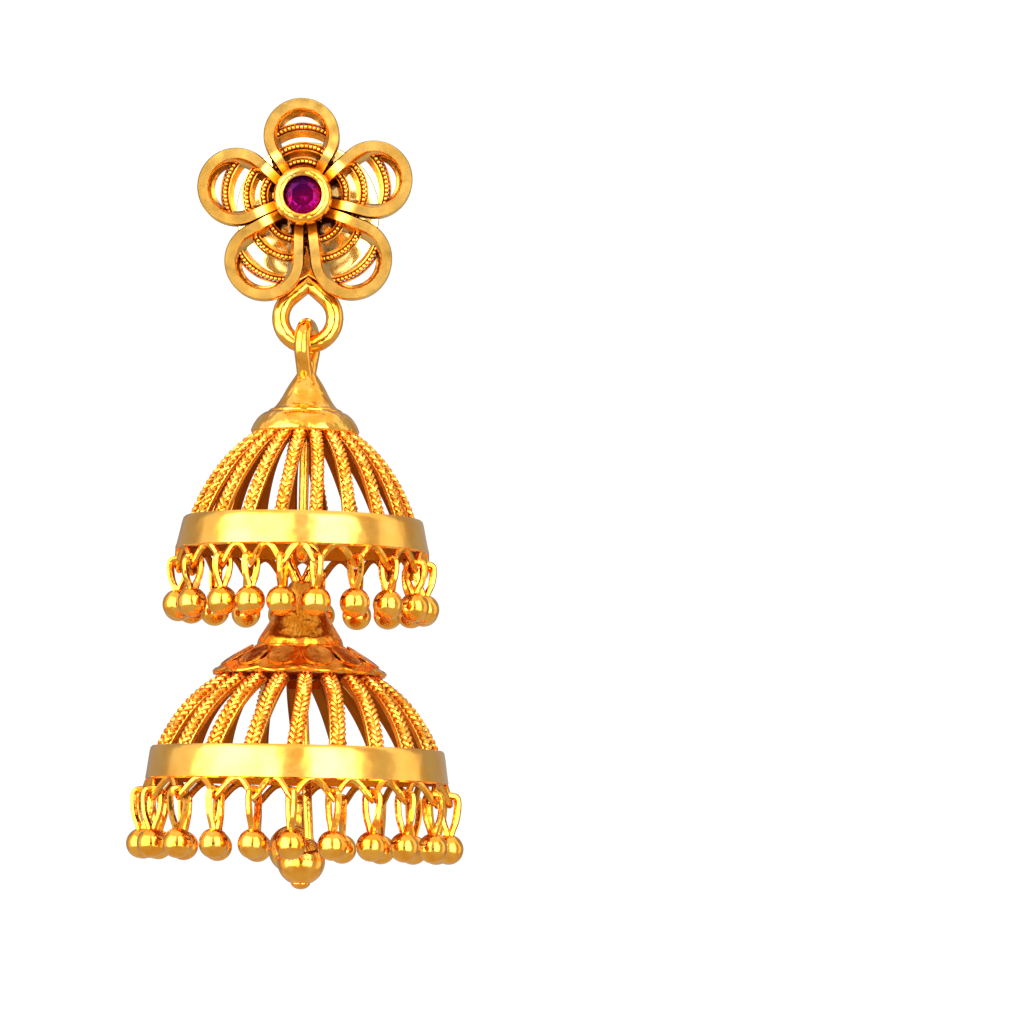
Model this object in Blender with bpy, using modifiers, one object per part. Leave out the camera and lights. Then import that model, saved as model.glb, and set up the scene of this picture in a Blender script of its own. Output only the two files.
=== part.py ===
"""A two-tier jhumka earring: a stone-set flower over two braided-wire bells with ball fringes.

The origin is on the screw post, at the back of the flower, where the ear lobe bears on it.
The flower faces -Y, the screw disc is behind the lobe at +Y, and the bells hang down -Z.
Soldered metal is one solid. The upper bell swings on the flower's ring, and the lower bell
swings on a ring inside the upper one.
"""
import math

import bmesh
import bpy
from mathutils import Matrix, Vector

MM = 0.001

# Flower: five pear-shaped frames bent from flat strip.
PETAL_CENTRE = 4.5 * MM     # flower centre to the middle of a petal's round end
PETAL_WIDTH = 4.9 * MM      # across the round end, outside
STRIP_WIDTH = 0.73 * MM     # the strip's edge, seen from the front
STRIP_DEPTH = 1.2 * MM
PETAL_FRONT = 3.3 * MM      # front of the petals ahead of the lobe
NECK_RADIUS = 1.4 * MM      # where a strip's ends stop under the bezel
NECK_WIDTH = 1.62 * MM      # between the two ends of a strip
KNEE_DROP = 0.55 * MM       # how far the ends dip back under the bezel
# Hand-bent petals: angle in degrees, then centre distance, width and neck width as shares of the
# sizes above.
PETALS = (
    (92.7, 0.85, 0.98, 1.14),
    (173.0, 0.94, 1.00, 0.80),
    (240.5, 1.055, 1.02, 0.70),
    (308.5, 1.11, 1.05, 0.60),
    (14.6, 1.01, 1.00, 0.86),
)
# Filigree rows behind each petal: distance out as a share of the petal's centre distance.
ROW_SHARES = (0.60, 0.83, 1.12)
ROW_WIRE = 0.46 * MM

# Bezel and stone.
STONE_RADIUS = 1.25 * MM
STONE_TABLE = 0.75 * MM
STONE_CROWN = 0.30 * MM
STONE_GIRDLE = 0.10 * MM
STONE_PAVILION = 0.90 * MM
STONE_GAP = 0.10 * MM
BEZEL_RADIUS = 1.85 * MM
BEZEL_FRONT = 3.95 * MM     # front of the rim ahead of the lobe
BEZEL_DEPTH = 1.75 * MM
BEZEL_LIP = 0.10 * MM       # how far the rim is rubbed over the stone
SOCKET_RADIUS = 1.25 * MM

# Screw post and back disc.
POST_RADIUS = 0.5 * MM
POST_GAP = 0.1 * MM
LOBE_GAP = 4.5 * MM         # room for the ear lobe
DISC_RADIUS = 4.6 * MM
DISC_THICK = 0.5 * MM
HUB_RADIUS = 1.5 * MM
HUB_LENGTH = 2.0 * MM
POST_TAIL = 1.0 * MM        # post beyond the hub

# The ring under the flower and the eye that hangs in it.
DROP_X = 0.42 * MM          # the drop hangs a little to one side of the stone
RING_Y = -1.75 * MM
RING_WIRE = 1.1 * MM
RING_RADIUS = 1.7 * MM      # to the middle of the wire
RING_APEX = 2.25 * MM       # from the middle of the round to the apex
RING_Z = -7.53 * MM         # middle of the ring's round
EYE_WIRE = 1.0 * MM
EYE_TURN = math.radians(14)
LINK_GAP = 0.15 * MM        # play between an eye and the wire that it hangs on
EYE_NECK = 2.5 * MM         # hinge to the point where the eye's legs meet

# Upper bell, heights from the flower's centre.
UPPER_TOP_Z = -11.2 * MM
UPPER_BASE_Z = -14.9 * MM
UPPER_BASE_R = 3.4 * MM
UPPER_BAND_Z = -20.2 * MM
UPPER_BAND_H = 2.1 * MM
UPPER_BAND_TOP_R = 7.53 * MM
UPPER_BAND_LOW_R = 8.0 * MM
UPPER_RIB = 0.78 * MM
UPPER_RIB_PHASE = 0.63      # of the pitch between two ribs
UPPER_DROPS = 20
UPPER_DROP_R = UPPER_BAND_LOW_R - 0.2 * MM      # the drops hang just inside the edge
UPPER_BALL_Z = -25.8 * MM
UPPER_PHASE = 0.615         # of the pitch between two drops, from the front
# Hand-bent wave: how far each drop stands from even spacing, in degrees.
UPPER_SETTING = (-2.2, -1.9, -1.6, 1.5) + 12 * (0.0,) + (3.5, 6.6, 3.6, 0.3)

# The stem and ring inside the upper bell, and the eye on the lower one.
STEM_WIRE = 0.6 * MM
LINK_WIRE = 0.7 * MM
LINK_RADIUS = 1.0 * MM
LOWER_HINGE_Z = -22.6 * MM
LOWER_EYE_NECK = 2.1 * MM

# Lower bell.
LOWER_TOP_Z = -24.1 * MM
LOWER_DOME_Z = -28.2 * MM
LOWER_DOME_R = 2.7 * MM
LOWER_BASE_Z = -30.2 * MM
LOWER_BASE_R = 5.5 * MM
LOWER_BAND_Z = -34.6 * MM
LOWER_BAND_H = 2.1 * MM
LOWER_BAND_TOP_R = 9.2 * MM
LOWER_BAND_LOW_R = 9.5 * MM
LOWER_RIB = 0.94 * MM
LOWER_RIB_PHASE = 0.19
LOWER_DROPS = 22
LOWER_DROP_R = LOWER_BAND_LOW_R + 0.15 * MM     # the drops hang just outside the edge
LOWER_BALL_Z = -40.7 * MM
LOWER_PHASE = 0.04
LOWER_SETTING = (-0.1, -1.3, -2.6, -3.9, -2.8) + 13 * (0.0,) + (0.4, 2.4, 3.5, 2.5)

# What both bells share.
RIBS = 20
RIB_LEAN = math.radians(-6.5)   # the foot of a rib stands to one side of its head
BAND_WALL = 0.5 * MM
FRINGE_WIRE = 0.44 * MM         # the wavy wire under a band
FRINGE_DROP = 1.2 * MM          # how far its waves reach below the band
BALL_RADIUS = 0.93 * MM
BALL_FLAT = 0.46 * MM           # radius of the small flat where its loop is soldered
LOOP_WIRE = 0.38 * MM
LOOP_GAP = 0.13 * MM
UPPER_FRINGE = (UPPER_DROPS, UPPER_PHASE, UPPER_SETTING, UPPER_DROP_R)
LOWER_FRINGE = (LOWER_DROPS, LOWER_PHASE, LOWER_SETTING, LOWER_DROP_R)

# Finial under the lower bell: offsets from the bell's axis.
FINIAL_BALL = 1.5 * MM
STEM_FOOT = Vector((0.9, -0.8, -41.1)) * MM     # the stem leans, its foot is in the front ball
FRONT_BALL = Vector((0.4, -0.9, -41.6)) * MM
BACK_BALL = Vector((-0.25, 1.2, -40.85)) * MM
GRANULE_RADIUS = 0.6 * MM
GRANULE_SQUASH = 0.68           # its height as a share of its width
GRANULE_SINK = 0.15 * MM        # its middle above the foot of the front ball
FINIAL_GAP = 0.1 * MM

# Facets.
TURN_STEPS = 18
BAND_STEPS = 36
BALL_SIDES = 10

GOLD = ("gold", (0.94, 0.60, 0.17), 1.0, 0.22)
RUBY = ("ruby", (0.42, 0.01, 0.20), 0.0, 0.05)
POLISHED = ("polished_gold", (0.96, 0.74, 0.38), 1.0, 0.15)


def material(name, colour, metallic, roughness):
    """A Principled material of one colour."""
    made = bpy.data.materials.new(name)
    made.use_nodes = True
    shader = made.node_tree.nodes["Principled BSDF"]
    shader.inputs["Base Color"].default_value = (*colour, 1.0)
    shader.inputs["Metallic"].default_value = metallic
    shader.inputs["Roughness"].default_value = roughness
    return made


def collection(name):
    """A collection in the scene."""
    made = bpy.data.collections.new(name)
    bpy.context.scene.collection.children.link(made)
    return made


def place(name, mesh, home, location=(0, 0, 0), turn=0.0):
    """An object of a mesh, at a place and turned about the vertical."""
    obj = bpy.data.objects.new(name, mesh)
    obj.location = location
    obj.rotation_euler = (0, 0, turn)
    home.objects.link(obj)
    return obj


def to_mesh(obj):
    """The finished mesh of an object, with its modifiers applied and its ends welded."""
    depsgraph = bpy.context.evaluated_depsgraph_get()
    mesh = bpy.data.meshes.new_from_object(obj.evaluated_get(depsgraph))
    bm = bmesh.new()
    bm.from_mesh(mesh)
    bmesh.ops.remove_doubles(bm, verts=bm.verts, dist=0.001 * MM)
    bmesh.ops.recalc_face_normals(bm, faces=bm.faces)
    bm.to_mesh(mesh)
    bm.free()
    return mesh


def turned(name, profile, steps, home, location=(0, 0, 0), closed=False):
    """A body turned about the vertical from (radius, height) points, down its outer side."""
    mesh = bpy.data.meshes.new(name)
    bm = bmesh.new()
    verts = [bm.verts.new((radius, 0, height)) for radius, height in profile]
    for start, end in zip(verts, verts[1:]):
        bm.edges.new((start, end))
    if closed:
        bm.edges.new((verts[-1], verts[0]))
    bm.to_mesh(mesh)
    bm.free()
    obj = place(name, mesh, home, location)
    screw = obj.modifiers.new("turn", "SCREW")
    screw.steps = steps
    screw.render_steps = steps
    screw.use_merge_vertices = True
    screw.merge_threshold = 0.001 * MM
    return obj


def wire_mesh(name, points, diameter, sides, closed):
    """A closed or capped round wire along a run of points."""
    curve = bpy.data.curves.new(name, "CURVE")
    curve.dimensions = "3D"
    section = bpy.data.curves.new(name + "_section", "CURVE")
    outline = section.splines.new("POLY")
    outline.points.add(sides - 1)
    for number, point in enumerate(outline.points):
        angle = 2 * math.pi * (number + 0.5) / sides
        point.co = (diameter / 2 * math.cos(angle), diameter / 2 * math.sin(angle), 0, 1)
    outline.use_cyclic_u = True
    shape = place(name + "_section", section, bpy.context.scene.collection)
    curve.bevel_mode = "OBJECT"
    curve.bevel_object = shape
    curve.use_fill_caps = not closed
    spline = curve.splines.new("POLY")
    spline.points.add(len(points) - 1)
    for point, co in zip(spline.points, points):
        point.co = (*co, 1)
    spline.use_cyclic_u = closed
    guide = place(name, curve, bpy.context.scene.collection)
    mesh = to_mesh(guide)
    bpy.data.objects.remove(guide)
    bpy.data.objects.remove(shape)
    return mesh


def ball_mesh(name, radius, sides, rings):
    """A faceted ball about its own centre."""
    mesh = bpy.data.meshes.new(name)
    bm = bmesh.new()
    bmesh.ops.create_uvsphere(bm, u_segments=sides, v_segments=rings, radius=radius)
    bm.to_mesh(mesh)
    bm.free()
    return mesh


def solder(obj, pieces):
    """Join a collection of overlapping pieces to an object, as one solid."""
    for piece in pieces.objects:
        piece.hide_render = True
        piece.display_type = "WIRE"
    union = obj.modifiers.new("solder", "BOOLEAN")
    union.operation = "UNION"
    union.operand_type = "COLLECTION"
    union.collection = pieces
    union.solver = "EXACT"


def teardrop(radius, apex, steps):
    """A loop in a plane: a round about (0, 0) whose sides run straight to (0, -apex)."""
    lean = math.acos(radius / apex)
    sweep = 2 * (math.pi - lean)
    loop = []
    for step in range(steps + 1):
        angle = lean - math.pi / 2 + sweep * step / steps
        loop.append((radius * math.cos(angle), radius * math.sin(angle)))
    loop.append((0, -apex))
    return loop


def finish(obj, paint, holder=None):
    """Give an object its material and the empty that it moves with."""
    obj.data.materials.clear()
    obj.data.materials.append(paint)
    if holder:
        obj.parent = holder
        obj.matrix_parent_inverse = holder.matrix_world.inverted()
    return obj


def petal_outline(centre, width, neck):
    """Half-outline of a petal's strip: points (along, across) from the tip to the neck."""
    radius = (width - STRIP_WIDTH) / 2
    inward = centre - NECK_RADIUS
    reach = math.hypot(inward, neck / 2)
    tangent = math.pi - math.atan2(neck / 2, inward) - math.acos(radius / reach)
    steps = 6
    outline = []
    for step in range(steps + 1):
        angle = tangent * step / steps
        outline.append((centre + radius * math.cos(angle), radius * math.sin(angle)))
    outline.append((NECK_RADIUS, neck / 2))
    return outline


def petal_strip(name, angle, half, home):
    """One petal: the strip on edge, its ends dipping back to run under the bezel."""
    run = [(along, -across) for along, across in reversed(half)] + half[1:]
    mesh = bpy.data.meshes.new(name)
    bm = bmesh.new()
    verts = []
    for number, (along, across) in enumerate(run):
        dip = KNEE_DROP if number in (0, len(run) - 1) else 0
        verts.append(bm.verts.new((along, -PETAL_FRONT + dip, across)))
    edges = [bm.edges.new(pair) for pair in zip(verts, verts[1:])]
    grown = bmesh.ops.extrude_edge_only(bm, edges=edges)["geom"]
    back = [item for item in grown if isinstance(item, bmesh.types.BMVert)]
    bmesh.ops.translate(bm, verts=back, vec=(0, STRIP_DEPTH, 0))
    bmesh.ops.rotate(bm, verts=bm.verts, cent=(0, 0, 0), matrix=Matrix.Rotation(-angle, 3, "Y"))
    bm.to_mesh(mesh)
    bm.free()
    obj = place(name, mesh, home)
    wall = obj.modifiers.new("strip", "SOLIDIFY")
    wall.thickness = STRIP_WIDTH
    wall.offset = 0
    wall.use_even_offset = True
    return obj


def filigree_row(name, angle, half, distance, home):
    """One curved row of wire behind a petal, from one side of its strip to the other."""
    sides = [(along, across) for along, across in half if along <= distance]
    inner = sides[0]
    outer = half[half.index(inner) - 1]
    blend = (distance - inner[0]) / (outer[0] - inner[0])
    across = inner[1] + blend * (outer[1] - inner[1])
    spread = math.asin(min(across / distance, 0.95))
    depth = STRIP_DEPTH - PETAL_FRONT
    steps = 3
    points = []
    for step in range(steps + 1):
        turn = angle + spread * (2 * step / steps - 1)
        points.append((distance * math.cos(turn), depth, distance * math.sin(turn)))
    return place(name, wire_mesh(name, points, ROW_WIRE, 4, False), home)


def build_flower(parts):
    """Petals, filigree rows, bezel with its rear socket, and the ring, soldered together."""
    pieces = collection("flower_pieces")
    for number, (degrees, centre_share, width_share, neck_share) in enumerate(PETALS):
        angle = math.radians(degrees)
        centre = PETAL_CENTRE * centre_share
        half = petal_outline(centre, PETAL_WIDTH * width_share, NECK_WIDTH * neck_share)
        petal_strip(f"petal_{number}", angle, half, pieces)
        for row, share in enumerate(ROW_SHARES):
            filigree_row(f"row_{number}_{row}", angle, half, share * centre, pieces)
    ring = [(x + DROP_X, RING_Y, RING_Z - z) for x, z in teardrop(RING_RADIUS, RING_APEX, 10)]
    place("ring", wire_mesh("ring", ring, RING_WIRE, 6, True), pieces)
    seat = STONE_RADIUS + STONE_GAP
    rim = BEZEL_FRONT - 0.1 * MM
    girdle = rim - STONE_CROWN - STONE_GAP
    floor = girdle - STONE_GIRDLE - STONE_PAVILION - 2 * STONE_GAP
    lip = STONE_RADIUS - BEZEL_LIP / 2
    back = BEZEL_FRONT - BEZEL_DEPTH
    profile = (
        (0, floor),
        (0.7 * seat, floor + 0.25 * MM),
        (seat, girdle - STONE_GIRDLE - STONE_GAP),
        (seat, girdle + STONE_GAP),
        (lip, girdle + 2 * STONE_GAP),
        (lip, rim),
        (0.5 * (lip + BEZEL_RADIUS), BEZEL_FRONT),
        (0.92 * BEZEL_RADIUS, rim),
        (BEZEL_RADIUS, rim - 0.35 * MM),
        (BEZEL_RADIUS, back + 0.35 * MM),
        (0.5 * (BEZEL_RADIUS + SOCKET_RADIUS), back),
        (SOCKET_RADIUS, back),
        (SOCKET_RADIUS, 0),
        (0, 0),
    )
    flower = turned("flower", profile, TURN_STEPS, parts)
    flower.rotation_euler = (math.pi / 2, 0, 0)
    solder(flower, pieces)
    return flower


def build_stone(parts):
    """A round stone with a flat table, a faceted crown and a pointed pavilion."""
    table = BEZEL_FRONT - 0.1 * MM
    crown = table - STONE_CROWN
    profile = (
        (0, table),
        (STONE_TABLE, table),
        (STONE_RADIUS, crown),
        (STONE_RADIUS, crown - STONE_GIRDLE),
        (0, crown - STONE_GIRDLE - STONE_PAVILION),
    )
    stone = turned("centre_stone", profile, 16, parts)
    stone.rotation_euler = (math.pi / 2, 0, 0)
    return stone


def build_screw(parts):
    """The post with its back disc and hub, one plain piece."""
    disc = POST_GAP + LOBE_GAP
    hub = disc + DISC_THICK
    profile = (
        (0, -POST_GAP),
        (POST_RADIUS, -POST_GAP),
        (POST_RADIUS, -disc),
        (DISC_RADIUS, -disc),
        (DISC_RADIUS, -hub),
        (HUB_RADIUS, -hub),
        (HUB_RADIUS, -hub - HUB_LENGTH),
        (POST_RADIUS, -hub - HUB_LENGTH),
        (POST_RADIUS, -hub - HUB_LENGTH - POST_TAIL),
        (0, -hub - HUB_LENGTH - POST_TAIL),
    )
    screw = turned("ear_screw", profile, 20, parts)
    screw.rotation_euler = (math.pi / 2, 0, 0)
    return screw


def rib_mesh(name, head, foot, diameter):
    """One dome rib from (radius, height) to (radius, height), bowed out and leaning."""
    bow = (head[0] + 0.68 * (foot[0] - head[0]), head[1] + 0.29 * (foot[1] - head[1]))
    steps = 4
    points = []
    for step in range(steps + 1):
        t = step / steps
        shares = ((1 - t) ** 2, 2 * t * (1 - t), t ** 2)
        radius = sum(share * spot[0] for share, spot in zip(shares, (head, bow, foot)))
        height = sum(share * spot[1] for share, spot in zip(shares, (head, bow, foot)))
        angle = RIB_LEAN * (t - 0.5)
        points.append((radius * math.cos(angle), radius * math.sin(angle), height))
    return wire_mesh(name, points, diameter, 4, False)


def add_cage(pieces, axis, ribs, band, fringe):
    """Ribs, band and wavy wire of a bell, as pieces to be soldered to its cap."""
    head, foot, rib, rib_phase = ribs
    mesh = rib_mesh("rib", head, foot, rib)
    for number in range(RIBS):
        place(f"rib_{number}", mesh, pieces, axis, 2 * math.pi * (number + rib_phase) / RIBS)
    top, low, top_radius, low_radius = band
    wall = (
        (top_radius, top),
        (low_radius, low),
        (low_radius - BAND_WALL, low),
        (top_radius - BAND_WALL, top),
    )
    turned("band", wall, BAND_STEPS, pieces, axis, closed=True)
    count, drop_radius = fringe[0], fringe[-1]
    crest_radius = low_radius - BAND_WALL / 2
    # One wave, as (share of the pitch, share of the depth) from the foot of the wave.
    wave = ((-0.09, 0.0), (0.09, 0.0), (0.38, 1.0), (0.62, 1.0))
    points = []
    for number in range(count):
        for along, up in wave:
            angle = drop_angle(number + along, fringe)
            radius = drop_radius + up * (crest_radius - drop_radius)
            height = low - FRINGE_DROP * (1 - up)
            points.append((radius * math.cos(angle), radius * math.sin(angle), height))
    place("wave", wire_mesh("wave", points, FRINGE_WIRE, 4, True), pieces, axis)


def drop_angle(number, fringe):
    """Where a drop, or a place between two, is round its bell, counted from the front."""
    count, phase, setting, _ = fringe
    whole = math.floor(number)
    share = number - whole
    shift = (1 - share) * setting[whole % count] + share * setting[(whole + 1) % count]
    return 2 * math.pi * (number + phase) / count - math.pi / 2 + math.radians(shift)


def link_radius(wire, held):
    """Radius of an eye of one wire about another wire that it hangs on."""
    return held / 2 + LINK_GAP + wire / 2


def build_upper_bell(parts, axis):
    """The cap with its eye, the ribs, band and wave, and the inner stem and ring."""
    pieces = collection("upper_bell_pieces")
    radius = link_radius(EYE_WIRE, RING_WIRE)
    eye = []
    for across, up in teardrop(radius, EYE_NECK, 9):
        height = RING_Z - RING_RADIUS + up
        eye.append((across * math.sin(EYE_TURN), across * math.cos(EYE_TURN), height))
    place("eye", wire_mesh("eye", eye, EYE_WIRE, 6, True), pieces, axis)
    stem = ((0, 0, 0.5 * (UPPER_TOP_Z + UPPER_BASE_Z)), (0, 0, LOWER_HINGE_Z + 2 * LINK_RADIUS))
    place("stem", wire_mesh("stem", stem, STEM_WIRE, 6, False), pieces, axis)
    ring = []
    sides = 12
    for side in range(sides):
        angle = 2 * math.pi * side / sides
        height = LOWER_HINGE_Z + LINK_RADIUS * (1 + math.sin(angle))
        ring.append((0, LINK_RADIUS * math.cos(angle), height))
    place("inner_ring", wire_mesh("inner_ring", ring, LINK_WIRE, 6, True), pieces, axis)
    rise = UPPER_TOP_Z - UPPER_BASE_Z
    head = (UPPER_BASE_R - 0.83 * UPPER_RIB, UPPER_BASE_Z + 0.06 * UPPER_RIB)
    foot = (UPPER_BAND_TOP_R - 0.8 * BAND_WALL, UPPER_BAND_Z - 0.9 * MM)
    band = (UPPER_BAND_Z, UPPER_BAND_Z - UPPER_BAND_H, UPPER_BAND_TOP_R, UPPER_BAND_LOW_R)
    add_cage(pieces, axis, (head, foot, UPPER_RIB, UPPER_RIB_PHASE), band, UPPER_FRINGE)
    # The cap's outline as shares of its base radius and its height.
    outline = ((0, 1.0), (0.16, 1.0), (0.30, 0.81), (0.47, 0.57), (0.60, 0.44), (0.70, 0.385),
               (0.74, 0.35), (0.87, 0.245), (1.0, 0.06), (1.0, 0.0), (0, 0.0))
    profile = [(r * UPPER_BASE_R, UPPER_BASE_Z + h * rise) for r, h in outline]
    bell = turned("upper_bell", profile, TURN_STEPS, parts, axis)
    solder(bell, pieces)
    return bell


def build_lower_bell(parts, axis):
    """The domed cap and leaf plate with its eye, the ribs, band and wave."""
    pieces = collection("lower_bell_pieces")
    radius = link_radius(LINK_WIRE, LINK_WIRE)
    eye = [(x, 0, LOWER_HINGE_Z + z) for x, z in teardrop(radius, LOWER_EYE_NECK, 8)]
    place("lower_eye", wire_mesh("lower_eye", eye, LINK_WIRE, 6, True), pieces, axis)
    dome = LOWER_TOP_Z - LOWER_DOME_Z
    plate = LOWER_DOME_Z - LOWER_BASE_Z
    spread = LOWER_BASE_R - LOWER_DOME_R
    head = (LOWER_BASE_R - 0.9 * LOWER_RIB, LOWER_BASE_Z - 0.05 * LOWER_RIB)
    foot = (LOWER_BAND_TOP_R - 0.8 * BAND_WALL, LOWER_BAND_Z - 0.9 * MM)
    band = (LOWER_BAND_Z, LOWER_BAND_Z - LOWER_BAND_H, LOWER_BAND_TOP_R, LOWER_BAND_LOW_R)
    add_cage(pieces, axis, (head, foot, LOWER_RIB, LOWER_RIB_PHASE), band, LOWER_FRINGE)
    # Dome: shares of its radius and height. Plate: shares of its spread and fall.
    dome_outline = ((0, 1.0), (0.20, 1.0), (0.36, 0.86), (0.50, 0.68), (0.66, 0.46),
                    (0.85, 0.26), (0.97, 0.10), (1.0, 0.0))
    plate_outline = ((0.04, 0.97), (0.45, 0.70), (0.86, 0.34), (1.0, 0.15), (1.0, 0.0),
                     (0.45, 0.0), (0.0, 0.40))
    profile = [(r * LOWER_DOME_R, LOWER_DOME_Z + h * dome) for r, h in dome_outline]
    profile += [(LOWER_DOME_R + s * spread, LOWER_BASE_Z + h * plate) for s, h in plate_outline]
    profile += [(0.4 * LOWER_DOME_R, finial_seat()), (0, finial_seat())]
    bell = turned("lower_bell", profile, TURN_STEPS, parts, axis)
    solder(bell, pieces)
    return bell


def finial_seat():
    """Height of the flat under the lower dome, where the finial's stem is fixed."""
    return LOWER_DOME_Z + 0.2 * (LOWER_TOP_Z - LOWER_DOME_Z)


def drop_mesh(name, ball_z, foot_z):
    """A ball and its loop, about the place where the loop hangs on the wave's foot."""
    loop_radius = FRINGE_WIRE / 2 + LOOP_GAP + LOOP_WIRE / 2
    centre = ball_z - foot_z
    flat = math.acos(BALL_FLAT / BALL_RADIUS)
    apex = -(centre + BALL_RADIUS * math.sin(flat) + 0.15 * LOOP_WIRE)
    loop = [(x, 0, z) for x, z in teardrop(loop_radius, apex, 4)]
    pieces = collection(name + "_pieces")
    loop_piece = place(name + "_loop", wire_mesh(name, loop, LOOP_WIRE, 5, True), pieces)
    # The ball has a small flat on top, where the loop is soldered.
    profile = [(0, centre + BALL_RADIUS * math.sin(flat))]
    for latitude in (flat, math.radians(20), math.radians(-20), math.radians(-55)):
        radius = BALL_RADIUS * math.cos(latitude)
        profile.append((radius, centre + BALL_RADIUS * math.sin(latitude)))
    profile.append((0, centre - BALL_RADIUS))
    ball = turned(name, profile, BALL_SIDES, bpy.context.scene.collection)
    solder(ball, pieces)
    fused = to_mesh(ball)
    bpy.data.objects.remove(loop_piece)
    bpy.data.objects.remove(ball)
    bpy.data.collections.remove(pieces)
    return fused


def build_drops(parts, prefix, axis, fringe, low, ball_z):
    """The ball drops of one bell, each hung on the foot of a wave."""
    count, radius = fringe[0], fringe[-1]
    foot_z = low - FRINGE_DROP
    mesh = drop_mesh(prefix, ball_z, foot_z)
    drops = []
    for number in range(count):
        angle = drop_angle(number, fringe)
        spot = axis + Vector((radius * math.cos(angle), radius * math.sin(angle), foot_z))
        drops.append(place(f"{prefix}_{number + 1:02d}", mesh, parts, spot, angle))
    return drops


def build_finial(parts, axis):
    """The stem, two balls and the granule under the lower bell."""
    pieces = collection("finial_pieces")
    stem = ((0, 0, finial_seat() - FINIAL_GAP), STEM_FOOT)
    place("finial_stem", wire_mesh("finial_stem", stem, STEM_WIRE, 6, False), pieces, axis)
    ball = ball_mesh("finial_ball", FINIAL_BALL, 12, 7)
    place("back_ball", ball, pieces, axis + BACK_BALL)
    below = Vector((0, 0, GRANULE_SINK - FINIAL_BALL))
    granule = ball_mesh("granule", GRANULE_RADIUS, 10, 5)
    granule.transform(Matrix.Diagonal((1, 1, GRANULE_SQUASH, 1)))
    place("granule", granule, pieces, axis + FRONT_BALL + below)
    finial = place("finial", ball.copy(), parts, axis + FRONT_BALL)
    solder(finial, pieces)
    return finial


def build():
    """Make the whole earring."""
    for old in list(bpy.data.objects):
        bpy.data.objects.remove(old)
    parts = collection("jhumka_earring")
    gold = material(*GOLD)
    polished = material(*POLISHED)
    ruby = material(*RUBY)
    axis = Vector((DROP_X, RING_Y, 0))

    upper_swing = bpy.data.objects.new("upper_swing", None)
    upper_swing.location = axis + Vector((0, 0, RING_Z - RING_RADIUS))
    lower_swing = bpy.data.objects.new("lower_swing", None)
    lower_swing.location = axis + Vector((0, 0, LOWER_HINGE_Z))
    for empty in (upper_swing, lower_swing):
        parts.objects.link(empty)
    bpy.context.view_layer.update()
    lower_swing.parent = upper_swing
    lower_swing.matrix_parent_inverse = upper_swing.matrix_world.inverted()

    finish(build_flower(parts), gold)
    finish(build_stone(parts), ruby)
    finish(build_screw(parts), polished)
    finish(build_upper_bell(parts, axis), gold, upper_swing)
    upper_low = UPPER_BAND_Z - UPPER_BAND_H
    for drop in build_drops(parts, "upper_drop", axis, UPPER_FRINGE, upper_low, UPPER_BALL_Z):
        finish(drop, gold, upper_swing)
    finish(build_lower_bell(parts, axis), gold, lower_swing)
    lower_low = LOWER_BAND_Z - LOWER_BAND_H
    for drop in build_drops(parts, "lower_drop", axis, LOWER_FRINGE, lower_low, LOWER_BALL_Z):
        finish(drop, gold, lower_swing)
    finish(build_finial(parts, axis), gold, lower_swing)


build()
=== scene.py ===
"""Looks of a two-tier gold jhumka earring: a flower with a stone, and two bells of braided wire.

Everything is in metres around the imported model. The flower faces -Y, +Z is up, and the origin
is on the screw post at the back of the flower.
"""
import math
import random

import bmesh
import bpy
from mathutils import Matrix, Vector, noise


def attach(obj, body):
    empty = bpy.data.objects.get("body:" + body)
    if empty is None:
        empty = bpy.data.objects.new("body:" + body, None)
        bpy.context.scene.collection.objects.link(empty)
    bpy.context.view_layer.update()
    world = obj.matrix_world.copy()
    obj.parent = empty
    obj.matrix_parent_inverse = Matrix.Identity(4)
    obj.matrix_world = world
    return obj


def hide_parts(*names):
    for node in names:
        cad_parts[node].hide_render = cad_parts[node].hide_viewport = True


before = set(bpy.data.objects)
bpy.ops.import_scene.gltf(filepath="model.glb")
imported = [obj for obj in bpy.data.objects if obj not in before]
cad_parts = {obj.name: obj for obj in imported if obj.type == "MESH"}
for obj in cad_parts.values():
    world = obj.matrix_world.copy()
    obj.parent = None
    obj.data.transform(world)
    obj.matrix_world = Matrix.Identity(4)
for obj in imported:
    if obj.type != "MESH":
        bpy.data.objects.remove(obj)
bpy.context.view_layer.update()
MM = 0.001

# The flower's five petals. Each is one gold strip bent on edge into a pear-shaped loop. Its front
# is filed flat and left satin, its inner wall is brown with painted shade, and its two ends dip
# under the bezel, where all five are soldered.
PETAL_CENTRE = 4.5 * MM
PETAL_WIDTH = 4.9 * MM
STRIP_WIDTH = 0.73 * MM
STRIP_DEPTH = 1.2 * MM
PETAL_FRONT = 3.3 * MM
NECK_RADIUS = 1.5 * MM
NECK_WIDTH = 1.62 * MM
KNEE_START = 2.9 * MM
KNEE_DROP = 0.6 * MM
# Hand-bent petals: angle in degrees, then centre distance, width and neck width as shares of the
# sizes above.
PETALS = (
    (92.7, 0.85, 0.98, 1.14),
    (173.0, 0.94, 1.00, 0.80),
    (240.5, 1.055, 1.02, 0.70),
    (308.5, 1.11, 1.05, 0.60),
    (14.6, 1.01, 1.00, 0.86),
)
# Both bells hang on one line, a little to the right of the stone and in front of the post.
DROP_X = 0.42 * MM
RING_Y = -1.75 * MM
axis = Vector((DROP_X, RING_Y, 0))
# Painted shade: dark browns for gold inside the bells and in narrow places.
INSIDE_SHADE = (0.42, 0.13, 0.006, 1.0)
CREVICE_SHADE = (0.30, 0.10, 0.006, 1.0)


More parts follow.
